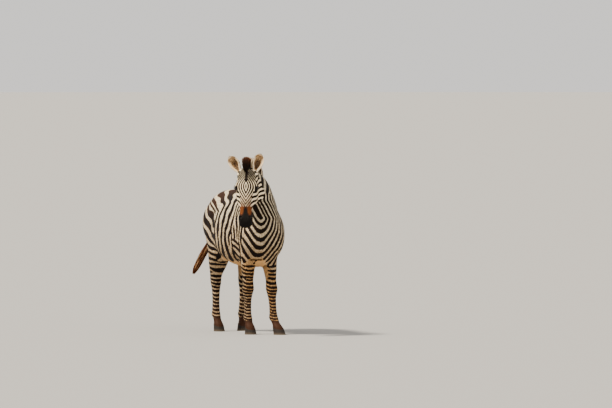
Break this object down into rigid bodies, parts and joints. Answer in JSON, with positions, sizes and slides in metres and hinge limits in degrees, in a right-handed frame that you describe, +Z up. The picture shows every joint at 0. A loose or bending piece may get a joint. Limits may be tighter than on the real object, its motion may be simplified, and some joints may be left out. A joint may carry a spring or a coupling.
{
  "type": "zebra",
  "caption": "Life-size standing plains zebra, head turned a little to its right and tail swung aside, a still model that stands on four flat hoof soles.",
  "frame": {"origin": "middle of the underside of the object's box, on the floor", "axes": "+Z up; the zebra heads towards -Y, its right side is at -X and its left side at +X"},
  "size_m": [0.6912, 1.7158, 1.6355],
  "materials": {
    "coat": "short fur, black and cream stripes over tan",
    "mane": "coarse hair, dark brown to black",
    "horn": "dull dark horn",
    "eye": "wet, nearly black brown"
  },
  "bodies": {
    "root": {"head": "coat", "neck": "coat", "trunk": "coat", "forearm_right": "coat", "forearm_left": "coat", "fore_cannon_right": "coat", "fore_cannon_left": "coat", "gaskin_right": "coat", "gaskin_left": "coat", "hind_cannon_right": "coat", "hind_cannon_left": "coat", "tail_dock": "coat", "tail_tassel": "mane", "ear_right": "coat", "ear_left": "coat", "mane": "mane", "eye_right": "eye", "eye_left": "eye", "fore_right_hoof": "horn", "fore_left_hoof": "horn", "hind_right_hoof": "horn", "hind_left_hoof": "horn"}
  },
  "joints": []
}
